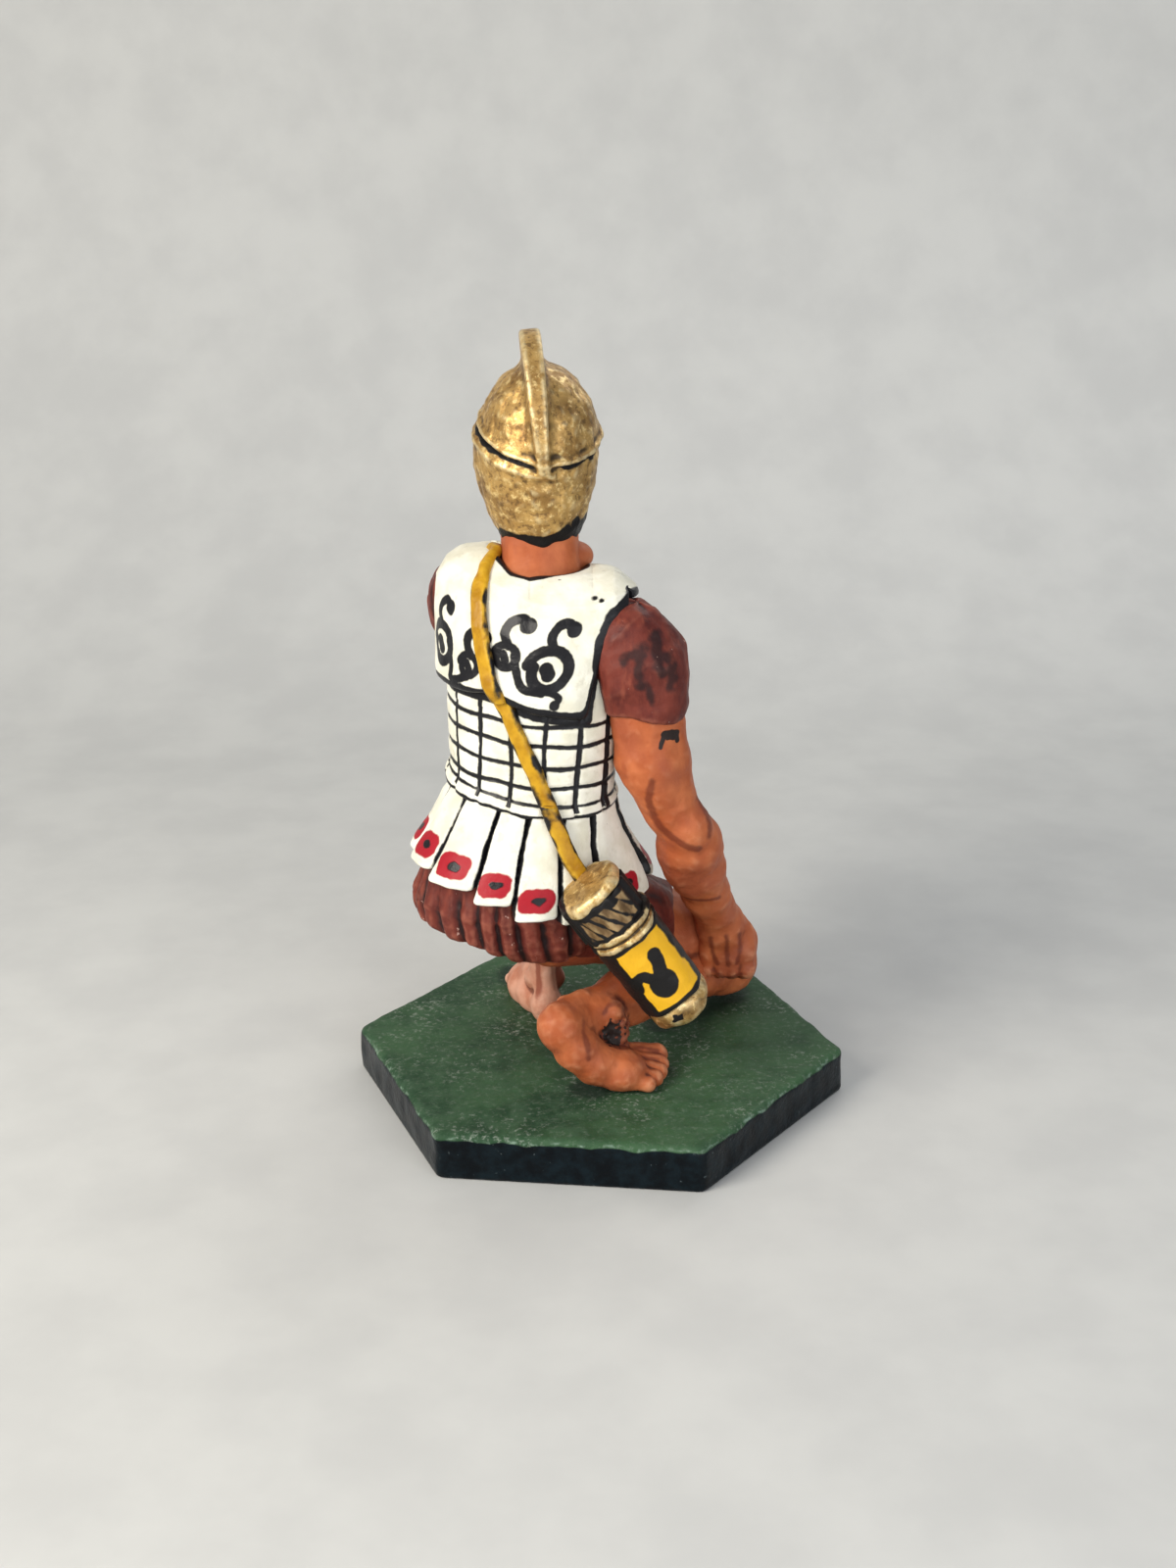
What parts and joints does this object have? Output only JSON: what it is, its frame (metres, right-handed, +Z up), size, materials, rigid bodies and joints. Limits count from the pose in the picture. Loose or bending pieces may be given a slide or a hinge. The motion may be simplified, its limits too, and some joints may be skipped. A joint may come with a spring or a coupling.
{
  "type": "painted miniature figure",
  "caption": "Kneeling archer in ancient dress, a painted metal miniature glued to a flat hexagonal base for tabletop play.",
  "frame": {"origin": "centre of the hexagonal base's underside, on the surface it stands on", "axes": "+Z up out of the base, +Y the way the bow arm points and away from the archer's back, +X to the archer's right"},
  "size_m": [0.029, 0.0302, 0.0443],
  "materials": {
    "base_paint": "dark green brushed enamel with grey scuffs, glossy blue-black rim",
    "flesh_paint": "satin tan flesh enamel with red-brown shading",
    "tunic_paint": "satin rust-brown enamel with dark lined folds",
    "armour_paint": "satin off-white enamel with black and red brushwork",
    "helmet_paint": "metallic gold enamel, worn and brushed",
    "strap_paint": "glossy yellow enamel edged in black",
    "wood_paint": "satin brown enamel, lined in black"
  },
  "bodies": {
    "root": {"hex_base": "base_paint", "left_foot": "flesh_paint", "right_foot": "flesh_paint", "left_shin": "flesh_paint", "right_shin": "flesh_paint", "left_thigh": "flesh_paint", "right_thigh": "flesh_paint", "tunic_skirt": "tunic_paint", "pteruges": "armour_paint", "cuirass": "armour_paint", "shoulder_yoke": "armour_paint", "neck": "flesh_paint", "head": "flesh_paint", "helmet_bowl": "helmet_paint", "neck_guard": "helmet_paint", "left_cheek_guard": "helmet_paint", "right_cheek_guard": "helmet_paint", "helmet_crest": "helmet_paint", "left_sleeve": "tunic_paint", "right_sleeve": "tunic_paint", "left_upper_arm": "flesh_paint", "right_upper_arm": "flesh_paint", "left_forearm": "flesh_paint", "right_forearm": "flesh_paint", "left_hand": "flesh_paint", "right_hand": "flesh_paint", "baldric_back": "strap_paint", "baldric_front": "strap_paint", "quiver_cap": "helmet_paint", "quiver_arrows": "wood_paint", "quiver_ring": "helmet_paint", "quiver_case": "strap_paint", "quiver_foot": "helmet_paint", "bow_grip": "wood_paint", "bow_upper_limb": "wood_paint", "bow_lower_limb": "wood_paint"}
  },
  "joints": []
}
